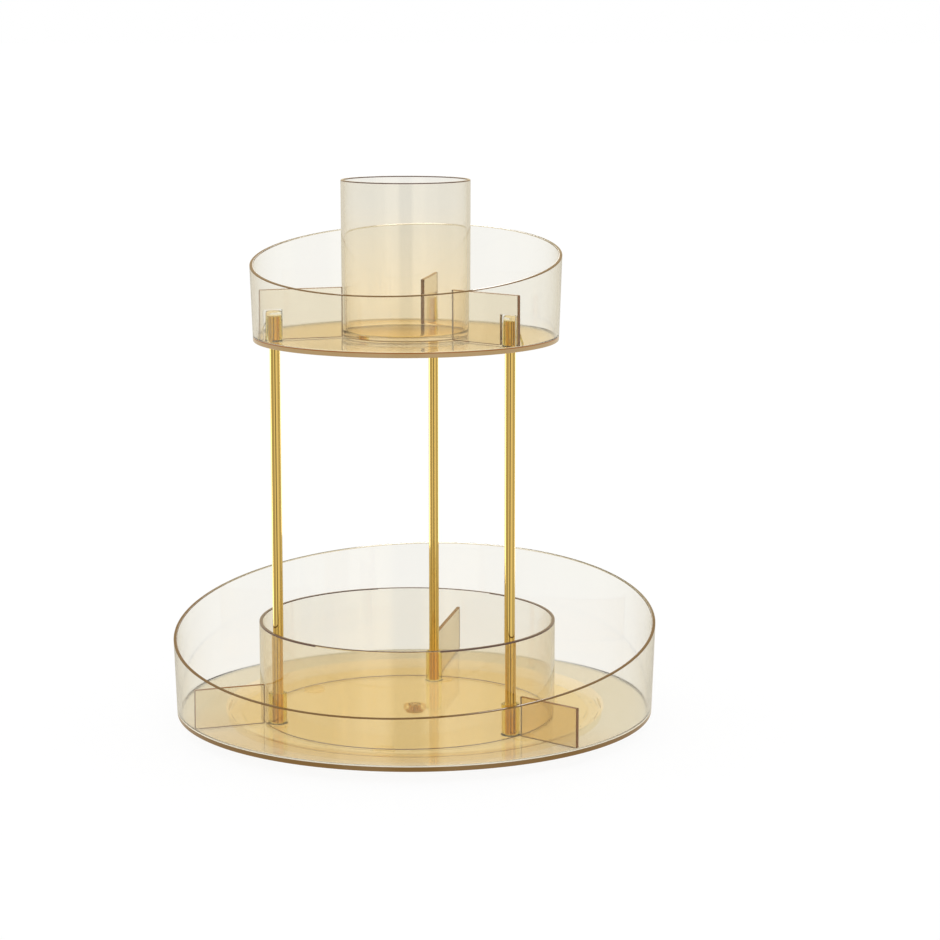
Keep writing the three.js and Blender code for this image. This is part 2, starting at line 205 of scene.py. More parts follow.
def clear_plastic(name, inside, roughness=0.02, haze_range=2.5, index=1.5):
    """Clear amber polystyrene: a glossy refracting skin, tinted face by face, with painted shade and
    painted highlight on the faces that are not clear.

    inside says how far the faces painted as shade or highlight clear, and turn pale, when they are met
    from within the plastic.
    """
    material = bpy.data.materials.new(name)
    material.use_nodes = True
    nodes, links = material.node_tree.nodes, material.node_tree.links
    skin = nodes["Principled BSDF"]
    skin.inputs["IOR"].default_value = index
    stored = nodes.new("ShaderNodeAttribute")
    stored.attribute_name = "tint"
    face = nodes.new("ShaderNodeNewGeometry")
    painted_opacity = nodes.new("ShaderNodeMath")
    painted_opacity.operation = "SUBTRACT"
    painted_opacity.inputs[0].default_value = 1.0
    links.new(stored.outputs["Alpha"], painted_opacity.inputs[1])
    opened = nodes.new("ShaderNodeMath")
    opened.operation = "MULTIPLY"
    links.new(face.outputs["Backfacing"], opened.inputs[0])
    links.new(painted_opacity.outputs["Value"], opened.inputs[1])
    paler = nodes.new("ShaderNodeMath")
    paler.operation = "MULTIPLY"
    paler.inputs[1].default_value = inside
    links.new(opened.outputs["Value"], paler.inputs[0])
    clearness = nodes.new("ShaderNodeMath")
    clearness.operation = "ADD"
    links.new(paler.outputs["Value"], clearness.inputs[0])
    links.new(stored.outputs["Alpha"], clearness.inputs[1])
    links.new(clearness.outputs["Value"], skin.inputs["Transmission Weight"])
    shade = nodes.new("ShaderNodeMix")
    shade.data_type = "RGBA"
    shade.inputs["B"].default_value = WITHIN_TINT
    links.new(paler.outputs["Value"], shade.inputs["Factor"])
    links.new(stored.outputs["Color"], shade.inputs["A"])
    links.new(shade.outputs["Result"], skin.inputs["Base Color"])
    place = nodes.new("ShaderNodeTexCoord")
    haze = nodes.new("ShaderNodeTexNoise")
    haze.inputs["Scale"].default_value = 60.0
    haze.inputs["Detail"].default_value = 4.0
    links.new(place.outputs["Object"], haze.inputs["Vector"])
    gloss = nodes.new("ShaderNodeMapRange")
    gloss.inputs["From Min"].default_value = 0.35
    gloss.inputs["From Max"].default_value = 0.75
    gloss.inputs["To Min"].default_value = roughness
    gloss.inputs["To Max"].default_value = roughness * haze_range
    links.new(haze.outputs["Fac"], gloss.inputs["Value"])
    links.new(gloss.outputs["Result"], skin.inputs["Roughness"])
    return material


tray_plastic = clear_plastic("clear amber trays", 1.0)
PAINTED_LINE = 0.6  # the height of the painted line round the outside of the wall where wall and floor meet: a painted highlight on the lower tray, painted shade on the upper
INNER_SHARE = 0.8  # the share of the floor's radius that lies over the base
SPARE_WALL = 5  # extra radius allowed for when the wall is raised above its rim


def tray_blank(outline_inside, radius, wall, floor, underside, axis, rim_height):
    """A tray's floor and leaning wall as one turned body, cut to its slanted rim."""
    top = floor + rim_height + (radius + SPARE_WALL) * math.tan(RIM_SLANT)
    outline = outline_inside + [
        (radius, underside, FOOT_ROUNDING),
        (lean(radius, floor - underside), floor, 0),
        (lean(radius, floor - underside + PAINTED_LINE), floor + PAINTED_LINE, 0),
        (lean(radius, top - underside), top, 0),
        (lean(radius, top - underside) - wall, top, 0),
        (lean(radius, floor - underside) - wall, floor, CORNER_ROUNDING),
        (radius * INNER_SHARE, floor, 0),
        (0, floor, 0),
    ]
    bm = turned(outline, axis)
    cut_rim(bm, axis, floor + rim_height)
    return bm


pin_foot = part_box("lower_tray")[0].z / MM
pin_outline = [
    (0, PILOT_TOP, 0),
    (PILOT_RADIUS, PILOT_TOP, 0),
    (PILOT_RADIUS, pin_foot, 0.2),
    (PIN_RADIUS, pin_foot, 0.3),
    (PIN_RADIUS, lower_underside, 0.4),
]
lower_tray = new_piece(
    tray_blank(pin_outline, LOWER_RADIUS, LOWER_WALL, lower_floor, lower_underside, pivot,
               LOWER_RIM_HEIGHT),
    "lower_tray_moulding")
boss_root = lower_floor - LOWER_FLOOR / 2
boss_top = lower_floor + LOWER_BOSS_HEIGHT
boss = [
    (0, boss_root, 0),
    (LOWER_BOSS_RADIUS + BOSS_FLARE, boss_root, 0),
    (LOWER_BOSS_RADIUS + BOSS_FLARE, lower_floor, 0),
    (LOWER_BOSS_RADIUS, lower_floor + 0.6, 0.4),
    (LOWER_BOSS_RADIUS, boss_top, 0.5),
    (0, boss_top, 0),
]
socket = [
    (0, lower_floor, 0),
    (SOCKET_RADIUS, lower_floor, 0),
    (SOCKET_RADIUS, boss_top - SOCKET_LEAD_IN, 0),
    (SOCKET_RADIUS + 2 * SOCKET_LEAD_IN, boss_top + SOCKET_LEAD_IN, 0),
    (0, boss_top + SOCKET_LEAD_IN, 0),
]
for angle in SIDES.values():
    place = spoke_point(angle, ROD_CIRCLE)
    combine(lower_tray, turned(boss, place, SMALL_STEPS), "UNION")
    combine(lower_tray, turned(socket, place, SMALL_STEPS), "DIFFERENCE")
smooth(lower_tray)

TOUCH = 0.1  # how near a face's centre counts as being on a line
FADE_WIDTH = 0.5  # the share of the radius over which one tint fades into the next
RIM_FADE_START = 0.15
FLOOR_FADE_START = -0.75


def rim_tint(depth):
    """A slanted rim's painted tint: painted shade at the front and sides, fading to a painted highlight
    towards the high side; depth is -1 at the front, 1 at the back.
    """
    return blend(RIM_SHADE_TINT, BACK_RIM_HIGHLIGHT_TINT, (depth - RIM_FADE_START) / FADE_WIDTH)


def lower_tint(centre, normal):
    # Painted shade on the rim, turning to a painted highlight at the back.
    if rim_distance(centre, pivot, lower_floor + LOWER_RIM_HEIGHT) < RIM_ROUNDING + TOUCH:
        return rim_tint(centre.y / LOWER_RADIUS)
    radius = math.hypot(centre.x, centre.y)
    # Painted shade: the opaque brown band round the foot.
    if radius > LOWER_RADIUS - FOOT_ROUNDING - TOUCH and centre.z < lower_floor:
        return FOOT_SHADE_TINT
    # Painted highlight: the pale line just above the foot band.
    if radius > LOWER_RADIUS and centre.z < lower_floor + PAINTED_LINE:
        return LINE_HIGHLIGHT_TINT
    # Painted shade: darker at the front of the outer floor, fading towards the back.
    if centre.z < lower_floor + 2 * TOUCH and radius > LOWER_RADIUS * INNER_SHARE:
        share = (centre.y / LOWER_RADIUS - FLOOR_FADE_START) / FADE_WIDTH
        return blend(FRONT_FLOOR_SHADE_TINT, SIDE_FLOOR_TINT, share)
    if centre.z < lower_floor + 2 * TOUCH:
        return FLOOR_TINT
    # Painted reflection of the gold rods on the sleeves; the rest of the wall keeps its own tint.
    return BOSS_GOLD_REFLECTION_TINT if nearest_rod(centre) < LOWER_BOSS_RADIUS + 1 else WALL_TINT


tint(lower_tray, lower_tint)
lower_tray.data.materials.append(tray_plastic)
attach(lower_tray, "turntable")
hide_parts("lower_tray")

# ---------------------------------------------------------------- Upper tray
# The small tray, the same moulding on a smaller scale. Its sockets are closed on top and slightly
# tapered, each with a triangular web out to the wall, and it has a round gate mark in the middle.
UPPER_RADIUS = 87.4
UPPER_WALL = 2.0
UPPER_FLOOR = 2.4
UPPER_RIM_HEIGHT = 44.4
UPPER_BOSS_TOP = 4.2
UPPER_BOSS_FOOT = 4.7
UPPER_BOSS_FLARE = 0.4
UPPER_BOSS_HEIGHT = 17.0
ROD_ENTRY = 14.0
GATE_RADIUS = 3.5
GATE_DEPTH = 0.8
WEB_THICKNESS = 1.6
WEB_HEIGHT = 12.5
WEB_ROUNDING = 0.2
WEB_TIP = 0.1  # its height at the wall

upper_floor = cup_box[0].z / MM - SEAT_GAP
upper_underside = upper_floor - UPPER_FLOOR
upper_root = upper_floor - UPPER_FLOOR / 2
rod_top = upper_floor + ROD_ENTRY + SEAT_GAP
upper_tray = new_piece(
    tray_blank([(0, upper_underside, 0)], UPPER_RADIUS, UPPER_WALL, upper_floor,
               upper_underside, tower, UPPER_RIM_HEIGHT),
    "upper_tray_moulding")


def web(angle):
    """The triangular web between an upper boss and the wall."""
    bm = bmesh.new()
    start = ROD_CIRCLE + SOCKET_RADIUS + 0.5
    end = lean(UPPER_RADIUS, UPPER_FLOOR) - UPPER_WALL / 2
    corners = [
        (start, upper_root),
        (end, upper_root),
        (end, upper_floor + WEB_TIP),
        (start, upper_floor + WEB_HEIGHT),
    ]
    face = bm.faces.new([bm.verts.new((x * MM, 0, z * MM)) for x, z in corners])
    side = bmesh.ops.extrude_face_region(bm, geom=[face])["geom"]
    moved = [item for item in side if isinstance(item, bmesh.types.BMVert)]
    bmesh.ops.translate(bm, verts=moved, vec=(0, WEB_THICKNESS * MM, 0))
    bmesh.ops.translate(bm, verts=bm.verts, vec=(0, -WEB_THICKNESS / 2 * MM, 0))
    bmesh.ops.recalc_face_normals(bm, faces=bm.faces)
    bmesh.ops.bevel(bm, geom=bm.edges[:], offset=WEB_ROUNDING * MM, offset_type="OFFSET",
                    affect="EDGES", segments=2, profile=0.5, material=-1)
    bmesh.ops.rotate(bm, verts=bm.verts, cent=(0, 0, 0), matrix=Matrix.Rotation(angle, 3, "Z"))
    bmesh.ops.translate(bm, verts=bm.verts, vec=tower)
    return bm


upper_boss_top = upper_floor + UPPER_BOSS_HEIGHT
boss = [
    (0, upper_root, 0),
    (UPPER_BOSS_FOOT + UPPER_BOSS_FLARE, upper_root, 0),
    (UPPER_BOSS_FOOT + UPPER_BOSS_FLARE, upper_floor, 0),
    (UPPER_BOSS_FOOT, upper_floor + 0.5, 0.3),
    (UPPER_BOSS_TOP + 0.1, rod_top, 0),
    (UPPER_BOSS_TOP, upper_boss_top, 0.9),
    (0, upper_boss_top, 0),
]
socket = [
    (0, upper_underside - 1, 0),
    (SOCKET_RADIUS, upper_underside - 1, 0),
    (SOCKET_RADIUS, rod_top, 0.6),
    (0, rod_top, 0),
]
for angle in SIDES.values():
    combine(upper_tray, web(angle), "UNION")
    combine(upper_tray, turned(boss, spoke_point(angle, ROD_CIRCLE), SMALL_STEPS), "UNION")
for angle in SIDES.values():
    combine(upper_tray, turned(socket, spoke_point(angle, ROD_CIRCLE), SMALL_STEPS), "DIFFERENCE")
gate = [
    (0, upper_floor - GATE_DEPTH, 0),
    (GATE_RADIUS - 0.4, upper_floor - GATE_DEPTH, 0),
    (GATE_RADIUS + 0.2, upper_floor + 0.5, 0),
    (0, upper_floor + 0.5, 0),
]
combine(upper_tray, turned(gate, tower, SMALL_STEPS), "DIFFERENCE")
smooth(upper_tray)

UPPER_FLOOR_TINT = (0.94, 0.82, 0.56, 1.0)
# Painted shade: an opaque tan band round the foot of the upper floor.
UPPER_FOOT_SHADE_TINT = (0.42, 0.28, 0.13, 0.0)
UPPER_CAP_TINT = (0.97, 0.93, 0.8, 1.0)


def upper_tint(centre, normal):
    # Painted shade on the rim, turning to a painted highlight at the back.
    if rim_distance(centre, tower, upper_floor + UPPER_RIM_HEIGHT) < RIM_ROUNDING + TOUCH:
        return rim_tint((centre.y - tower.y / MM) / UPPER_RADIUS)
    radius = (centre.xy - tower.xy / MM).length
    # Painted shade: the opaque tan band round the foot.
    if radius > UPPER_RADIUS - FOOT_ROUNDING - TOUCH and centre.z < upper_floor:
        return UPPER_FOOT_SHADE_TINT
    # Painted shade: a dark line just above the foot band.
    if radius > UPPER_RADIUS and centre.z < upper_floor + PAINTED_LINE:
        return EDGE_SHADE_TINT
    if centre.z < upper_floor + 2 * TOUCH:
        return UPPER_FLOOR_TINT
    if radius < UPPER_RADIUS - 2 * UPPER_WALL and centre.z > rod_top:
        return UPPER_CAP_TINT
    # Painted reflection of the gold rods on the sleeves; the rest of the wall keeps its own tint.
    return BOSS_GOLD_REFLECTION_TINT if nearest_rod(centre) < UPPER_BOSS_FOOT + 1 else WALL_TINT


tint(upper_tray, upper_tint)
upper_tray.data.materials.append(tray_plastic)
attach(upper_tray, "turntable")
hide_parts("upper_tray")

# ---------------------------------------------------------------- Inner ring
# A bottomless round wall of the same clear plastic. It stands loose on the lower floor, round the
# three sockets. Its cut rim is painted darker than its wall, as shade, with a pale line left at the
# front and back.
insert_plastic = clear_plastic("clear amber inserts", 0.4)
RING_TINT = (0.94, 0.92, 0.86, 1.0)
# Painted glow: the front of the ring's wall is painted warmer, fading to its own tint towards the back.
RING_FRONT_GLOW_TINT = (0.96, 0.9, 0.76, 1.0)
# Painted shade: a near-black opaque rim, used on the ring and on the cup.
RING_RIM_SHADE_TINT = (0.11, 0.06, 0.045, 0.0)
ring_low, ring_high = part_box("inner_ring")
ring_radius = (ring_high.x - ring_low.x) / 2 / MM
RING_WALL = 2.0
RING_ROUNDING = 0.5
RING_LINE = 0.9
RING_FRONT_HALF = 0.4  # the share of the radius either side of the middle where the rim's upright faces keep the wall's tint, so a pale line shows beside the painted shade
FLAT_FACE = 0.2  # an upright face's normal leans less than this
ring = new_piece(turned([
    (ring_radius - RING_WALL, ring_low.z / MM, RING_ROUNDING),
    (ring_radius, ring_low.z / MM, RING_ROUNDING),
    (ring_radius, ring_high.z / MM - RING_LINE, 0),
    (ring_radius, ring_high.z / MM, RING_ROUNDING),
    (ring_radius - RING_WALL, ring_high.z / MM, RING_ROUNDING),
], tower), "inner_ring_wall")
smooth(ring)


def ring_tint(centre, normal):
    # Painted shade on the rim, left off its upright faces at the front and back.
    if centre.z > ring_high.z / MM - RING_LINE:
        beside = abs(centre.x - tower.x / MM) > RING_FRONT_HALF * ring_radius
        return RING_RIM_SHADE_TINT if beside or normal.z > FLAT_FACE else RING_TINT
    # Painted shade: the faces round the foot are painted opaque brown.
    if abs(normal.z) > FLAT_FACE:
        return EDGE_SHADE_TINT
    # Painted glow: warmer at the front of the wall, fading towards the back.
    return blend(RING_FRONT_GLOW_TINT, RING_TINT, (centre.y - tower.y / MM) / ring_radius + 0.5)


tint(ring, ring_tint)
ring.data.materials.append(insert_plastic)
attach(ring, "ring")
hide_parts("inner_ring")

# ---------------------------------------------------------------- Cup
# The tall cup for brushes and tools, a thin-walled moulding of the same clear plastic with a
# slight taper and a recessed foot. It stands loose in the middle of the upper tray.
CUP_WALL = 1.9
CUP_FLOOR = 2.2
CUP_TAPER = 0.3
CUP_RECESS = 0.5
CUP_FOOT_WIDTH = 4.0
CUP_RIM_LINE = 0.8
CUP_FOOT_LINE = 0.45
CUP_SHADE_LINE_LOW, CUP_SHADE_LINE_HIGH = 0.3, 0.6  # the painted shade line round the floor, measured above it
CUP_FADE_START = 20  # above the foot, where the painted glow begins to fade
CUP_FADE_HEIGHT = 55
CUP_FLOOR_TINT = (0.95, 0.84, 0.58, 1.0)
# Painted glow: the lower wall is painted warmer, as if lit by amber light from below, fading to its own
# tint higher up.
CUP_LOW_GLOW_TINT = (1.0, 0.93, 0.79, 1.0)
CUP_HIGH_TINT = (0.92, 0.9, 0.84, 1.0)
cup_radius = (cup_box[1].x - cup_box[0].x) / 2 / MM
cup_foot = cup_box[0].z / MM
cup_rim = cup_box[1].z / MM
CUP_STEPS = [step / 24 for step in range(2, 24)]  # heights that carry the fading tint
cup = new_piece(turned([
    (0, cup_foot + CUP_RECESS, 0),
    (cup_radius - CUP_FOOT_WIDTH - CUP_RECESS, cup_foot + CUP_RECESS, 0.3),
    (cup_radius - CUP_FOOT_WIDTH, cup_foot, 0.2),
    (cup_radius - CUP_TAPER, cup_foot, 0.8),
    *[(cup_radius - CUP_TAPER * (1 - share), cup_foot + (cup_rim - cup_foot) * share, 0)
      for share in CUP_STEPS],
    (cup_radius, cup_rim, 0.6),
    (cup_radius - CUP_WALL, cup_rim, 0.6),
    *[(cup_radius - CUP_WALL - CUP_TAPER * (1 - share), cup_foot + (cup_rim - cup_foot) * share, 0)
      for share in reversed(CUP_STEPS)],
    (cup_radius - CUP_TAPER - CUP_WALL, cup_foot + CUP_FLOOR, 1.6),
    (0, cup_foot + CUP_FLOOR, 0),
], tower), "cup_moulding")
smooth(cup)


def cup_tint(centre, normal):
    # Painted shade: the rim is painted near-black.
    if centre.z > cup_rim - CUP_RIM_LINE:
        return RING_RIM_SHADE_TINT
    radius = (centre.xy - tower.xy / MM).length
    # Painted shade: dark lines round the foot and round the inner floor.
    if centre.z < cup_foot + CUP_FOOT_LINE and radius > cup_radius - CUP_TAPER - 0.5:
        return EDGE_SHADE_TINT
    if CUP_SHADE_LINE_LOW < centre.z - cup_foot - CUP_FLOOR < CUP_SHADE_LINE_HIGH:
        return EDGE_SHADE_TINT
    if centre.z < cup_foot + CUP_FLOOR + 2 * TOUCH:
        return CUP_FLOOR_TINT
    # Painted glow: warmer low on the wall, fading upwards.
    share = (centre.z - cup_foot - CUP_FADE_START) / CUP_FADE_HEIGHT
    return blend(CUP_LOW_GLOW_TINT, CUP_HIGH_TINT, share)


tint(cup, cup_tint)
cup.data.materials.append(insert_plastic)
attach(cup, "cup")
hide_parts("brush_cup")

# ---------------------------------------------------------------- Dividers
# Six loose plates of clear plastic with softened edges. The lower three run from the ring to the
# tray's wall. The upper three run from the cup to the wall, with a notch over each boss.
PLATE_TINT = (0.93, 0.87, 0.74, 1.0)
# Painted shade: the back and right lower plates are the same plastic as the others, painted a deeper
# amber.
SHADED_PLATE_TINT = (0.83, 0.71, 0.5, 1.0)
DIVIDER_THICKNESS = 2.2
WEB_GAP = 0.3  # between an upper plate and the web beside it
UPPER_OFFSET = -(WEB_THICKNESS / 2 + WEB_GAP + DIVIDER_THICKNESS / 2)
NOTCH_GAP = 0.5
PLATE_GAP = 0.5  # to the ring, the cup or the wall at a plate's ends
PLATE_ROUNDING = 0.3
FACETS = math.cos(math.pi / 72)  # how far the walls' flats lie inside their circle
notch_half = UPPER_BOSS_FOOT + NOTCH_GAP
notch_top = upper_floor + UPPER_BOSS_HEIGHT + NOTCH_GAP


def plate(outline, angle, offset):
    """An upright plate along a spoke, from an outline of (distance, height) in millimetres."""
    bm = bmesh.new()
    face = bm.faces.new([bm.verts.new((x * MM, 0, z * MM)) for x, z in outline])
    side = bmesh.ops.extrude_face_region(bm, geom=[face])["geom"]
    moved = [item for item in side if isinstance(item, bmesh.types.BMVert)]
    bmesh.ops.translate(bm, verts=moved, vec=(0, DIVIDER_THICKNESS * MM, 0))
    half = offset - DIVIDER_THICKNESS / 2
    bmesh.ops.translate(bm, verts=bm.verts, vec=(0, half * MM, 0))
    bmesh.ops.recalc_face_normals(bm, faces=bm.faces)
    bmesh.ops.bevel(bm, geom=bm.edges[:], offset=PLATE_ROUNDING * MM, offset_type="OFFSET",
                    affect="EDGES", segments=3, profile=0.5, material=-1)
    bmesh.ops.rotate(bm, verts=bm.verts, cent=(0, 0, 0), matrix=Matrix.Rotation(angle, 3, "Z"))
    bmesh.ops.translate(bm, verts=bm.verts, vec=tower)
    return bm


def finish_divider(piece, node, angle, face_tint):
    """Tints a plate's large faces and paints its edges dark as shade, and names what it stands for."""
    along = Vector((math.cos(angle), math.sin(angle), 0))
    across = Vector((-along.y, along.x, 0))

    def divider_tint(centre, normal):
        if abs(normal.dot(across)) > 0.98:
            return face_tint
        # Edges are painted opaque brown as shade, except beside a notch over a boss.
        across_boss = abs((centre - tower / MM).dot(along) - ROD_CIRCLE) < notch_half + 4 * TOUCH
        return WALL_TINT if across_boss and centre.z < notch_top + 4 * TOUCH else EDGE_SHADE_TINT

    smooth(piece)
    tint(piece, divider_tint)
    piece.data.materials.append(insert_plastic)
    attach(piece, node)
    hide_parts(node)


wall_inside = lean(LOWER_RADIUS, LOWER_FLOOR) - LOWER_WALL
for side, angle in SIDES.items():
    node = "lower_divider_" + side
    low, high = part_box(node)
    foot, head = low.z / MM, high.z / MM
    offset = tower.xy.dot(Vector((math.cos(angle), math.sin(angle)))) / MM
    reach = math.sqrt(offset ** 2 - (tower.length / MM) ** 2 + wall_inside ** 2) - offset
    inner, outer = ring_radius + PLATE_GAP, reach * FACETS - PLATE_GAP
    outline = [(inner, foot), (outer, foot), (outer, head), (inner, head)]
    divider = new_piece(plate(outline, angle, 0), node + "_plate")
    finish_divider(divider, node, angle, PLATE_TINT if side == "left" else SHADED_PLATE_TINT)

upper_inside = (lean(UPPER_RADIUS, UPPER_FLOOR) - UPPER_WALL) * FACETS - PLATE_GAP
for side, angle in SIDES.items():
    node = "upper_divider_" + side
    low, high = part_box(node)
    foot, head = low.z / MM, high.z / MM
    inner = cup_radius + PLATE_GAP
    outline = [
        (inner, foot),
        (ROD_CIRCLE - notch_half, foot),
        (ROD_CIRCLE - notch_half, notch_top),
        (ROD_CIRCLE + notch_half, notch_top),
        (ROD_CIRCLE + notch_half, foot),
        (upper_inside, foot),
        (upper_inside, head),
        (inner, head),
    ]
    divider = new_piece(plate(outline, angle, UPPER_OFFSET), node + "_plate")
    finish_divider(divider, node, angle, PLATE_TINT)

# ---------------------------------------------------------------- Rods
# Three metal tubes with a polished gold finish and a faint drawn grain. They are pushed into the
# open sockets of the lower tray and the closed ones of the upper tray, and hold the tiers apart.
TUBE_STEPS = 64
ROD_RADIUS = 3.0
ROD_WALL = 0.6
GRAIN_SHADE = 0.93  # how dark the grain's lines are beside the metal


def metal(name, colour, roughness, grain, grain_scale):
    """Bright metal with a faint drawn grain along its length."""
    material = bpy.data.materials.new(name)
    material.use_nodes = True
    nodes, links = material.node_tree.nodes, material.node_tree.links
    skin = nodes["Principled BSDF"]
    skin.inputs["Metallic"].default_value = 1.0
    place = nodes.new("ShaderNodeTexCoord")
    stretch = nodes.new("ShaderNodeMapping")
    stretch.inputs["Scale"].default_value = grain_scale
    links.new(place.outputs["Object"], stretch.inputs["Vector"])
    lines = nodes.new("ShaderNodeTexNoise")
    lines.inputs["Scale"].default_value = 1.0
    lines.inputs["Detail"].default_value = 3.0
    links.new(stretch.outputs["Vector"], lines.inputs["Vector"])
    shade = nodes.new("ShaderNodeMix")
    shade.data_type = "RGBA"
    shade.inputs["A"].default_value = colour
    shade.inputs["B"].default_value = tuple(c * GRAIN_SHADE for c in colour[:3]) + (1,)
    links.new(lines.outputs["Fac"], shade.inputs["Factor"])
    links.new(shade.outputs["Result"], skin.inputs["Base Color"])
    gloss = nodes.new("ShaderNodeMapRange")
    gloss.inputs["To Min"].default_value = roughness
    gloss.inputs["To Max"].default_value = roughness + grain
    links.new(lines.outputs["Fac"], gloss.inputs["Value"])
    links.new(gloss.outputs["Result"], skin.inputs["Roughness"])
    return material


rods = bpy.data.collections.new("rods")
gold = metal("polished gold", (0.86, 0.63, 0.21, 1), 0.07, 0.04, (900, 900, 12))
for side, angle in SIDES.items():
    node = "support_rod_" + side
    low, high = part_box(node)
    axis = Vector(((low.x + high.x) / 2, (low.y + high.y) / 2, 0))
    bore = ROD_RADIUS - ROD_WALL
    rod = new_piece(turned([
        (bore, low.z / MM, 0.1),
        (ROD_RADIUS, low.z / MM, 0.2),
        (ROD_RADIUS, high.z / MM, 0.2),
        (bore, high.z / MM, 0.1),
    ], axis, TUBE_STEPS), node + "_tube")
    smooth(rod)
    rod.data.materials.append(gold)
    rods.objects.link(rod)
    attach(rod, "turntable")
    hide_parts(node)

# ---------------------------------------------------------------- Turntable base
# The round base under the tray, clear amber plastic, with a skirt, a ball groove near its edge,
# a hub for the pivot pin and six pockets for the feet.
base_plastic = clear_plastic("clear amber base", 0.0, 0.1, 1.3, 1.02)
BASE_TINT = (0.97, 0.87, 0.6, 1.0)
SKIRT_TINT = (1.0, 0.99, 0.96, 1.0)
# Painted shade: the hub's upright faces are tinted deep amber so they show as dark marks.
HUB_SHADE_TINT = (0.72, 0.46, 0.16, 1.0)
base_low, base_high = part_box("turntable_base")
base_radius = (base_high.x - base_low.x) / 2 / MM
base_foot = base_low.z / MM
base_top = base_high.z / MM
BASE_PLATE = 2.0
BASE_SKIRT = 1.8
RACE_DEPTH = 0.8
BALL_RADIUS = 2.0
CAGE_WIDTH = 6.4
HUB_RADIUS = 6.6
HUB_BORE = 3.6
COUNTERBORE = 5.3
COUNTERBORE_TOP = 2.8
UPRIGHT = 0.7  # a face whose normal rises less than this is a wall
LEVEL = 0.9  # and one whose normal rises more than this is flat
race = base_radius - BASE_SKIRT - SEAT_GAP - CAGE_WIDTH / 2
plate_top = base_foot + BASE_PLATE
base = new_piece(turned([
    (COUNTERBORE, base_foot, 0.2),
    (base_radius, base_foot, 0.5),
    (base_radius, base_top, 0.3),
    (base_radius - BASE_SKIRT, base_top, 0.3),
    (base_radius - BASE_SKIRT, plate_top, 0.3),
    (race + BALL_RADIUS, plate_top, 0.2),
    (race + BALL_RADIUS, plate_top - RACE_DEPTH, 0.5),
    (race - BALL_RADIUS, plate_top - RACE_DEPTH, 0.5),
    (race - BALL_RADIUS, plate_top, 0.2),
    (HUB_RADIUS, plate_top, 0.5),
    (HUB_RADIUS, base_top, 0.4),
    (HUB_BORE, base_top, 0.2),
    (HUB_BORE, COUNTERBORE_TOP, 0),
    (COUNTERBORE, COUNTERBORE_TOP, 0),
], pivot), "turntable_base_moulding")
foot_nodes = sorted(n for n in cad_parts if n.startswith("rubber_foot"))
for node in foot_nodes:
    low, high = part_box(node)
    place = Vector(((low.x + high.x) / 2, (low.y + high.y) / 2, 0))
    radius = (high.x - low.x) / 2 / MM + SEAT_GAP
    depth = high.z / MM + SEAT_GAP
    pocket = [(0, 0, 0), (radius, 0, 0), (radius, depth, 0), (0, depth, 0)]
    combine(base, turned(pocket, place, SMALL_STEPS), "DIFFERENCE")
smooth(base)


def base_tint(centre, normal):
    radius = math.hypot(centre.x, centre.y)
    # Painted shade on the hub's upright faces.
    if radius < HUB_RADIUS + SEAT_GAP and abs(normal.z) < UPRIGHT:
        return HUB_SHADE_TINT
    return BASE_TINT if abs(normal.z) > LEVEL and radius < race - BALL_RADIUS else SKIRT_TINT


tint(base, base_tint)
base.data.materials.append(base_plastic)
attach(base, "base")
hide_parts("turntable_base")

# ---------------------------------------------------------------- Ball cage and balls
# A thin plastic ring with twelve holes, each holding a plastic ball that runs in the groove
# between base and tray. Cage and balls turn at half the tray's speed.
HOLE_STEPS = 32
HOLE_GAP = 0.2
cage_low, cage_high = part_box("ball_cage")


def bearing_tint(centre, normal):
    return SKIRT_TINT


cage = new_piece(turned([
    (race - CAGE_WIDTH / 2, cage_low.z / MM, 0.2),
    (race + CAGE_WIDTH / 2, cage_low.z / MM, 0.2),
    (race + CAGE_WIDTH / 2, cage_high.z / MM, 0.2),
    (race - CAGE_WIDTH / 2, cage_high.z / MM, 0.2),
], pivot), "ball_cage_ring")
ball_nodes = sorted(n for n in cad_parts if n.startswith("bearing_ball"))
for node in ball_nodes:
    low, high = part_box(node)
    middle = (low + high) / 2
    place = Vector((middle.x, middle.y, 0))
    below, above = cage_low.z / MM - 1, cage_high.z / MM + 1
    radius = BALL_RADIUS + HOLE_GAP
    hole = [(0, below, 0), (radius, below, 0), (radius, above, 0), (0, above, 0)]
    combine(cage, turned(hole, place, HOLE_STEPS), "DIFFERENCE")
    bm = bmesh.new()
    bmesh.ops.create_icosphere(bm, subdivisions=4, radius=BALL_RADIUS * MM)
    bmesh.ops.translate(bm, verts=bm.verts, vec=middle)
    ball = new_piece(bm, node + "_bead")
    smooth(ball, 60)
    tint(ball, bearing_tint)
    ball.data.materials.append(base_plastic)
    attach(ball, "ball_race")
    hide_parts(node)
smooth(cage)
tint(cage, bearing_tint)
cage.data.materials.append(base_plastic)
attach(cage, "ball_race")
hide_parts("ball_cage")

# ---------------------------------------------------------------- Pivot washer and screw
# The washer under the hub and the pan-head screw that holds the tray's pin, both of yellow
# zinc-plated steel. The screw cuts its thread in the pin's pilot hole.
steel = metal("yellow zinc-plated steel", (0.95, 0.82, 0.52, 1), 0.25, 0.1, (400, 400, 400))
washer_low, washer_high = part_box("pivot_washer")
washer_radius = (washer_high.x - washer_low.x) / 2 / MM
WASHER_HOLE = 1.6
washer = new_piece(turned([
    (WASHER_HOLE, washer_low.z / MM, 0.1),
    (washer_radius, washer_low.z / MM, 0.15),
    (washer_radius, washer_high.z / MM, 0.15),
    (WASHER_HOLE, washer_high.z / MM, 0.1),
], pivot, TUBE_STEPS), "pivot_washer_disc")
smooth(washer)
washer.data.materials.append(steel)
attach(washer, "turntable")
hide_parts("pivot_washer")

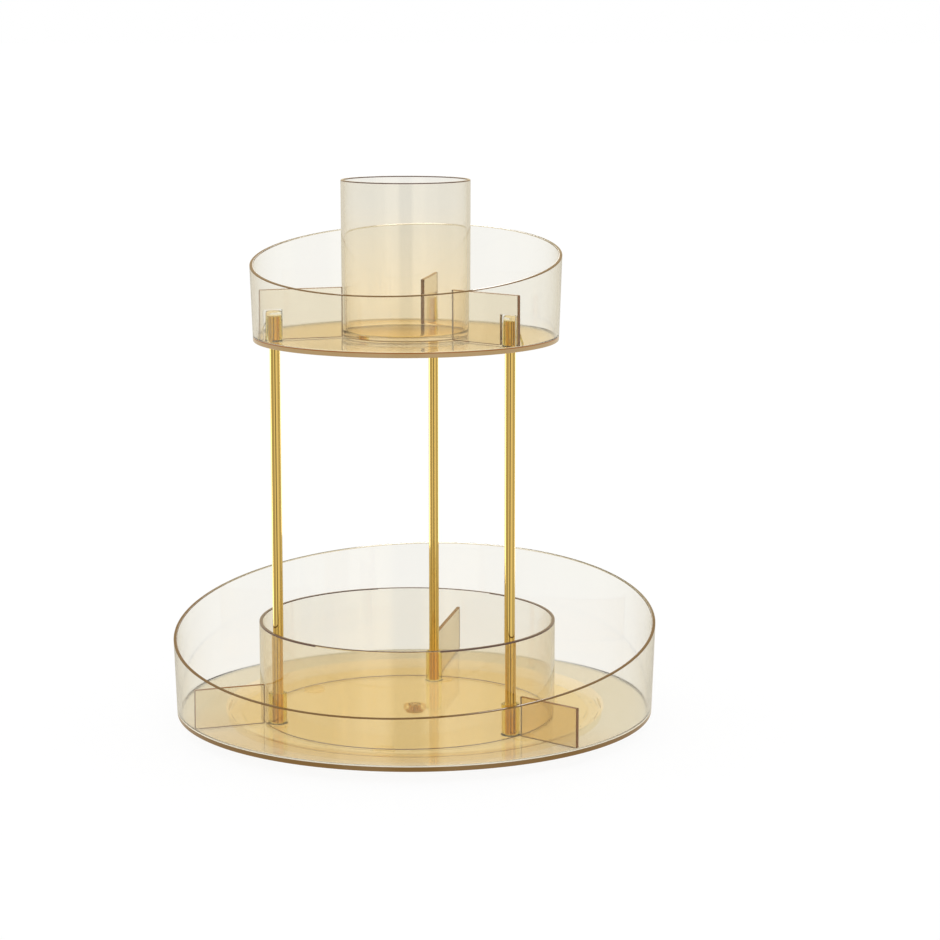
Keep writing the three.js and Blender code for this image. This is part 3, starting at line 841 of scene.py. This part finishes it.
SCREW_RADIUS = 1.3
SCREW_HEAD_RADIUS = 2.8
SCREW_HEAD_HEIGHT = 0.7
SLOT_SIZE = (3.2 * MM, 0.6 * MM, 0.8 * MM)
screw_low, screw_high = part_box("pivot_screw")
screw_foot = screw_low.z / MM
screw = new_piece(turned([
    (0, screw_foot, 0),
    (SCREW_HEAD_RADIUS, screw_foot, 0.4),
    (SCREW_HEAD_RADIUS, screw_foot + SCREW_HEAD_HEIGHT, 0.1),
    (SCREW_RADIUS, screw_foot + SCREW_HEAD_HEIGHT, 0.1),
    (SCREW_RADIUS, screw_high.z / MM, 0.3),
    (0, screw_high.z / MM, 0),
], pivot, SMALL_STEPS), "pivot_screw_pan_head")
for turn in (0, math.pi / 2):
    bm = bmesh.new()
    bmesh.ops.create_cube(bm, size=1)
    bmesh.ops.scale(bm, verts=bm.verts, vec=SLOT_SIZE)
    bmesh.ops.rotate(bm, verts=bm.verts, cent=(0, 0, 0), matrix=Matrix.Rotation(turn, 3, "Z"))
    bmesh.ops.translate(bm, verts=bm.verts, vec=(0, 0, screw_low.z))
    combine(screw, bm, "DIFFERENCE")
smooth(screw)
screw.data.materials.append(steel)
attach(screw, "turntable")
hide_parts("pivot_screw")

# ---------------------------------------------------------------- Feet
# Six discs of clear soft rubber pressed into pockets under the base. They are the only parts that
# touch the table, and keep the base still while the trays turn.
rubber = bpy.data.materials.new("soft rubber")
rubber.use_nodes = True
rubber_nodes, rubber_links = rubber.node_tree.nodes, rubber.node_tree.links
rubber_skin = rubber_nodes["Principled BSDF"]
rubber_skin.inputs["Base Color"].default_value = (0.96, 0.88, 0.68, 1)
rubber_skin.inputs["Roughness"].default_value = 0.45
rubber_skin.inputs["IOR"].default_value = 1.02
rubber_skin.inputs["Transmission Weight"].default_value = 1.0
rubber_place = rubber_nodes.new("ShaderNodeTexCoord")
rubber_grain = rubber_nodes.new("ShaderNodeTexNoise")
rubber_grain.inputs["Scale"].default_value = 1500.0
rubber_links.new(rubber_place.outputs["Object"], rubber_grain.inputs["Vector"])
rubber_bump = rubber_nodes.new("ShaderNodeBump")
rubber_bump.inputs["Strength"].default_value = 0.2
rubber_bump.inputs["Distance"].default_value = 0.0002
rubber_links.new(rubber_grain.outputs["Fac"], rubber_bump.inputs["Height"])
rubber_links.new(rubber_bump.outputs["Normal"], rubber_skin.inputs["Normal"])
for node in foot_nodes:
    low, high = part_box(node)
    place = Vector(((low.x + high.x) / 2, (low.y + high.y) / 2, 0))
    radius = (high.x - low.x) / 2 / MM
    foot = new_piece(turned([
        (0, 0, 0),
        (radius, 0, 0.3),
        (radius, high.z / MM, 0.2),
        (0, high.z / MM, 0),
    ], place, TUBE_STEPS), node + "_pad")
    smooth(foot)
    foot.data.materials.append(rubber)
    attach(foot, "base")
    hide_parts(node)

# ---------------------------------------------------------------- Studio
# A plain pale floor and an even white surround. Reflections see a warmer, dimmer room with soft
# upright screens, a panel behind, and strip lights that edge the rods.
CAMERA_AZIMUTH = math.radians(12.17)
FLOOR_RADIUS = 60.0
SIDE_GLOW = (0.74, 0.69, 0.58, 1)
SKY_GLOW = (1, 0.88, 0.69, 1)
SKY_LIFT = 1.22
SCREEN_WARMTH = (1, 0.93, 0.8)
# Each screen's edge, in degrees to the right of the camera's side, and its brightness there.
SCREENS = [(-120, 0.74), (-80, 0.62), (-60, 0.46), (-40, 0.46), (-33, 0.9), (-16, 0.9), (-9, 0.25),
           (9, 0.25), (15, 0.95), (35, 0.95), (43, 0.84), (57, 0.8), (64, 0.48), (80, 0.48), (105, 0.74)]
bm = bmesh.new()
bmesh.ops.create_circle(bm, cap_ends=True, segments=96, radius=FLOOR_RADIUS)
floor = new_piece(bm, "studio_floor")
pale = bpy.data.materials.new("pale floor")
pale.use_nodes = True
pale_skin = pale.node_tree.nodes["Principled BSDF"]
pale_skin.inputs["Base Color"].default_value = (0.1, 0.1, 0.1, 1)
pale_skin.inputs["Roughness"].default_value = 1.0
pale_skin.inputs["Specular IOR Level"].default_value = 0.0
pale_skin.inputs["Emission Color"].default_value = (0.91, 0.91, 0.91, 1)
pale_skin.inputs["Emission Strength"].default_value = 1.0
floor.data.materials.append(pale)
floor.visible_glossy = False
floor.visible_transmission = False
floor.visible_shadow = False

world = bpy.data.worlds.new("studio")
bpy.context.scene.world = world
world.use_nodes = True
sky_nodes, sky_links = world.node_tree.nodes, world.node_tree.links
sky = sky_nodes["Background"]
sky.inputs["Color"].default_value = (1, 1, 1, 1)
heading = sky_nodes.new("ShaderNodeTexCoord")
split = sky_nodes.new("ShaderNodeSeparateXYZ")
sky_links.new(heading.outputs["Generated"], split.inputs["Vector"])
height = sky_nodes.new("ShaderNodeMapRange")
height.inputs["From Min"].default_value = -1.0
sky_links.new(split.outputs["Z"], height.inputs["Value"])
above = sky_nodes.new("ShaderNodeValToRGB")
above.color_ramp.elements[0].position = 0.78
above.color_ramp.elements[0].color = SKY_GLOW
above.color_ramp.elements[1].position = 0.85
above.color_ramp.elements[1].color = (1, 1, 1, 1)
sky_links.new(height.outputs["Result"], above.inputs["Fac"])
turn_to_view = sky_nodes.new("ShaderNodeMapping")
turn_to_view.inputs["Rotation"].default_value = (0, 0, math.pi / 2 - CAMERA_AZIMUTH)
sky_links.new(heading.outputs["Generated"], turn_to_view.inputs["Vector"])
around = sky_nodes.new("ShaderNodeTexGradient")
around.gradient_type = "RADIAL"
sky_links.new(turn_to_view.outputs["Vector"], around.inputs["Vector"])
below = sky_nodes.new("ShaderNodeValToRGB")
screens = below.color_ramp.elements
screens[0].position, screens[0].color = 0, SIDE_GLOW
screens[1].position, screens[1].color = 1, SIDE_GLOW
for turn, level in SCREENS:
    screens.new(0.5 + turn / 360).color = (*(level * share for share in SCREEN_WARMTH), 1)
sky_links.new(around.outputs["Fac"], below.inputs["Fac"])
horizon = sky_nodes.new("ShaderNodeMapRange")
horizon.inputs["From Min"].default_value = -0.02
horizon.inputs["From Max"].default_value = 0.02
sky_links.new(split.outputs["Z"], horizon.inputs["Value"])
bands = sky_nodes.new("ShaderNodeMix")
bands.data_type = "RGBA"
sky_links.new(horizon.outputs["Result"], bands.inputs["Factor"])
sky_links.new(below.outputs["Color"], bands.inputs["A"])
lifted = sky_nodes.new("ShaderNodeMix")
lifted.data_type = "RGBA"
lifted.blend_type = "MULTIPLY"
lifted.inputs["Factor"].default_value = 1.0
sky_links.new(below.outputs["Color"], lifted.inputs["A"])
sky_links.new(above.outputs["Color"], lifted.inputs["B"])
brighter = sky_nodes.new("ShaderNodeVectorMath")
brighter.operation = "SCALE"
brighter.inputs["Scale"].default_value = SKY_LIFT
sky_links.new(lifted.outputs["Result"], brighter.inputs[0])
sky_links.new(brighter.outputs["Vector"], bands.inputs["B"])
ray = sky_nodes.new("ShaderNodeLightPath")
pick = sky_nodes.new("ShaderNodeMix")
pick.data_type = "RGBA"
pick.inputs["A"].default_value = (1, 1, 1, 1)
sky_links.new(ray.outputs["Glossy Depth"], pick.inputs["Factor"])
sky_links.new(bands.outputs["Result"], pick.inputs["B"])
sky_links.new(pick.outputs["Result"], sky.inputs["Color"])


def soft_light(name, place, aim, size, radiance, seen_by=None):
    """A soft rectangular light of a given brightness, pointed at the object."""
    lamp = bpy.data.lights.new(name, "AREA")
    lamp.shape = "RECTANGLE"
    lamp.size, lamp.size_y = size
    lamp.energy = radiance * math.pi * size[0] * size[1]
    holder = bpy.data.objects.new(name, lamp)
    holder.location = place
    holder.rotation_euler = (Vector(aim) - Vector(place)).to_track_quat("-Z", "Y").to_euler()
    holder.visible_camera = False
    holder.visible_transmission = False
    holder.visible_diffuse = False
    bpy.context.scene.collection.objects.link(holder)
    if seen_by:
        holder.light_linking.receiver_collection = seen_by
        lamp.use_shadow = False


soft_light("back panel", (-0.42, 1.95, 1.25), (0, 0, 0.15), (0.24, 0.9), 4.0)
STRIPS = [(-120, 28, 2.4), (146, 26, 2.2)]  # degrees to the right of the camera, width, radiance
STRIP_LENGTH = 2.0
strip_aim = tower + Vector((0, 0, 0.1))
for turn, width, radiance in STRIPS:
    bearing = -math.pi / 2 + CAMERA_AZIMUTH + math.radians(turn)
    place = strip_aim + Vector((math.cos(bearing), math.sin(bearing), 0))
    size = (2 * math.tan(math.radians(width) / 2), STRIP_LENGTH)
    soft_light("strip", place, strip_aim, size, radiance, rods)

# ---------------------------------------------------------------- Camera
# A long lens a little above the upper rim, looking slightly down at the low side of the trays,
# with the object left of the middle.
CAMERA_DISTANCE = 1.5102
CAMERA_HEIGHT = 0.4056
CAMERA_PITCH = math.radians(9.51)
CAMERA_PAN = math.radians(-1.386)
camera = bpy.data.objects.new("camera", bpy.data.cameras.new("camera"))
bpy.context.scene.collection.objects.link(camera)
camera.data.lens = 101.6
camera.data.sensor_width = 36.0
camera.location = tower + Vector((math.sin(CAMERA_AZIMUTH) * CAMERA_DISTANCE,
                                  -math.cos(CAMERA_AZIMUTH) * CAMERA_DISTANCE,
                                  CAMERA_HEIGHT))
camera.rotation_euler = (math.pi / 2 - CAMERA_PITCH, 0, CAMERA_AZIMUTH + CAMERA_PAN)
bpy.context.scene.camera = camera
bpy.context.scene.view_settings.view_transform = "Standard"
bpy.context.scene.cycles.max_bounces = 32
bpy.context.scene.cycles.transmission_bounces = 32
bpy.context.scene.cycles.glossy_bounces = 12
